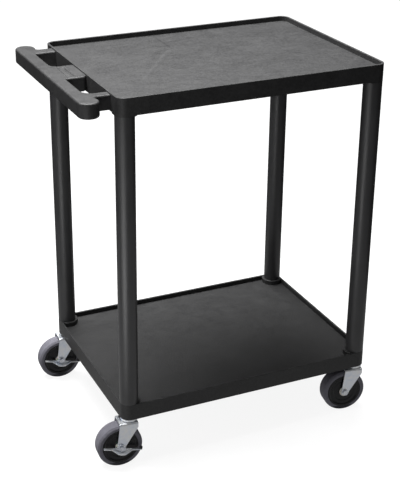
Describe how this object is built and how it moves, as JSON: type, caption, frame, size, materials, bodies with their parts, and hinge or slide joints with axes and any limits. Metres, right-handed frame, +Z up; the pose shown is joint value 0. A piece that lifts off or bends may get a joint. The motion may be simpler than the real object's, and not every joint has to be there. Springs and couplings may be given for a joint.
{
  "type": "rolling utility cart",
  "caption": "Utility cart with two moulded, low-lipped shelves on round legs, a looped push handle on one short side and swivel casters with rocking foot brakes.",
  "frame": {"origin": "on the floor, under the middle of the whole cart", "axes": "+Z up; +X away from the push handle, along the shelves' long side; the two braked casters and the handle are on the -X side"},
  "size_m": [0.6912, 0.4774, 0.8475],
  "materials": {
    "shelf_plastic": "black moulded structural foam with a fine pebble grain",
    "leg_plastic": "black moulded tube with a satin skin",
    "hub_plastic": "black moulded wheel centre, satin",
    "grey_rubber": "non-marking grey tread, matte",
    "black_rubber": "matte black rubber",
    "zinc_plate": "bright zinc plated stamped steel",
    "fastener_steel": "zinc plated machined steel",
    "nylon": "natural nylon, semi-matte"
  },
  "bodies": {
    "root": {"top_shelf": "shelf_plastic", "lower_shelf": "shelf_plastic", "push_handle": "shelf_plastic", "handle_screws": "fastener_steel", "stem_sleeves": "nylon", "leg_front_left": "leg_plastic", "leg_front_right": "leg_plastic", "leg_back_left": "leg_plastic", "leg_back_right": "leg_plastic", "caster_stem_front_left": "zinc_plate", "caster_stem_front_right": "zinc_plate", "caster_stem_back_left": "zinc_plate", "caster_stem_back_right": "zinc_plate"},
    "swivel_front_left": {"fork_front_left": "zinc_plate", "swivel_balls_front_left": "fastener_steel", "axle_bolt_front_left": "fastener_steel", "axle_nut_front_left": "fastener_steel", "axle_sleeve_front_left": "fastener_steel"},
    "wheel_front_left": {"hub_front_left": "hub_plastic", "hub_bushes_front_left": "nylon", "tyre_front_left": "grey_rubber"},
    "brake_front_left": {"brake_lever_front_left": "zinc_plate", "brake_pad_front_left": "black_rubber"},
    "swivel_front_right": {"fork_front_right": "zinc_plate", "swivel_balls_front_right": "fastener_steel", "axle_bolt_front_right": "fastener_steel", "axle_nut_front_right": "fastener_steel", "axle_sleeve_front_right": "fastener_steel"},
    "wheel_front_right": {"hub_front_right": "hub_plastic", "hub_bushes_front_right": "nylon", "tyre_front_right": "grey_rubber"},
    "swivel_back_left": {"fork_back_left": "zinc_plate", "swivel_balls_back_left": "fastener_steel", "axle_bolt_back_left": "fastener_steel", "axle_nut_back_left": "fastener_steel", "axle_sleeve_back_left": "fastener_steel"},
    "wheel_back_left": {"hub_back_left": "hub_plastic", "hub_bushes_back_left": "nylon", "tyre_back_left": "grey_rubber"},
    "brake_back_left": {"brake_lever_back_left": "zinc_plate", "brake_pad_back_left": "black_rubber"},
    "swivel_back_right": {"fork_back_right": "zinc_plate", "swivel_balls_back_right": "fastener_steel", "axle_bolt_back_right": "fastener_steel", "axle_nut_back_right": "fastener_steel", "axle_sleeve_back_right": "fastener_steel"},
    "wheel_back_right": {"hub_back_right": "hub_plastic", "hub_bushes_back_right": "nylon", "tyre_back_right": "grey_rubber"}
  },
  "joints": [
    {"name": "swivel_turn_front_left", "type": "hinge", "parent": "root", "child": "swivel_front_left", "pos_m": [-0.249, -0.2046, 0.116], "axis": [0, 0, 1], "continuous": true},
    {"name": "wheel_spin_front_left", "type": "hinge", "parent": "swivel_front_left", "child": "wheel_front_left", "pos_m": [-0.27391, -0.20242, 0.0508], "axis": [0.0872, 0.9962, 0], "continuous": true},
    {"name": "brake_rock_front_left", "type": "hinge", "parent": "swivel_front_left", "child": "brake_front_left", "pos_m": [-0.27391, -0.20242, 0.0508], "axis": [0.0872, 0.9962, 0], "range_deg": [-22, 0]},
    {"name": "swivel_turn_front_right", "type": "hinge", "parent": "root", "child": "swivel_front_right", "pos_m": [0.319, -0.2046, 0.116], "axis": [0, 0, 1], "continuous": true},
    {"name": "wheel_spin_front_right", "type": "hinge", "parent": "swivel_front_right", "child": "wheel_front_right", "pos_m": [0.29431, -0.20069, 0.0508], "axis": [0.1564, 0.9877, 0], "continuous": true},
    {"name": "swivel_turn_back_left", "type": "hinge", "parent": "root", "child": "swivel_back_left", "pos_m": [-0.249, 0.2046, 0.116], "axis": [0, 0, 1], "continuous": true},
    {"name": "wheel_spin_back_left", "type": "hinge", "parent": "swivel_back_left", "child": "wheel_back_left", "pos_m": [-0.27397, 0.20591, 0.0508], "axis": [0.0523, 0.9986, 0], "continuous": true},
    {"name": "brake_rock_back_left", "type": "hinge", "parent": "swivel_back_left", "child": "brake_back_left", "pos_m": [-0.27397, 0.20591, 0.0508], "axis": [0.0523, 0.9986, 0], "range_deg": [-22, 0]},
    {"name": "swivel_turn_back_right", "type": "hinge", "parent": "root", "child": "swivel_back_right", "pos_m": [0.319, 0.2046, 0.116], "axis": [0, 0, 1], "continuous": true},
    {"name": "wheel_spin_back_right", "type": "hinge", "parent": "swivel_back_right", "child": "wheel_back_right", "pos_m": [0.29414, 0.20721, 0.0508], "axis": [0.1045, 0.9945, 0], "continuous": true}
  ]
}
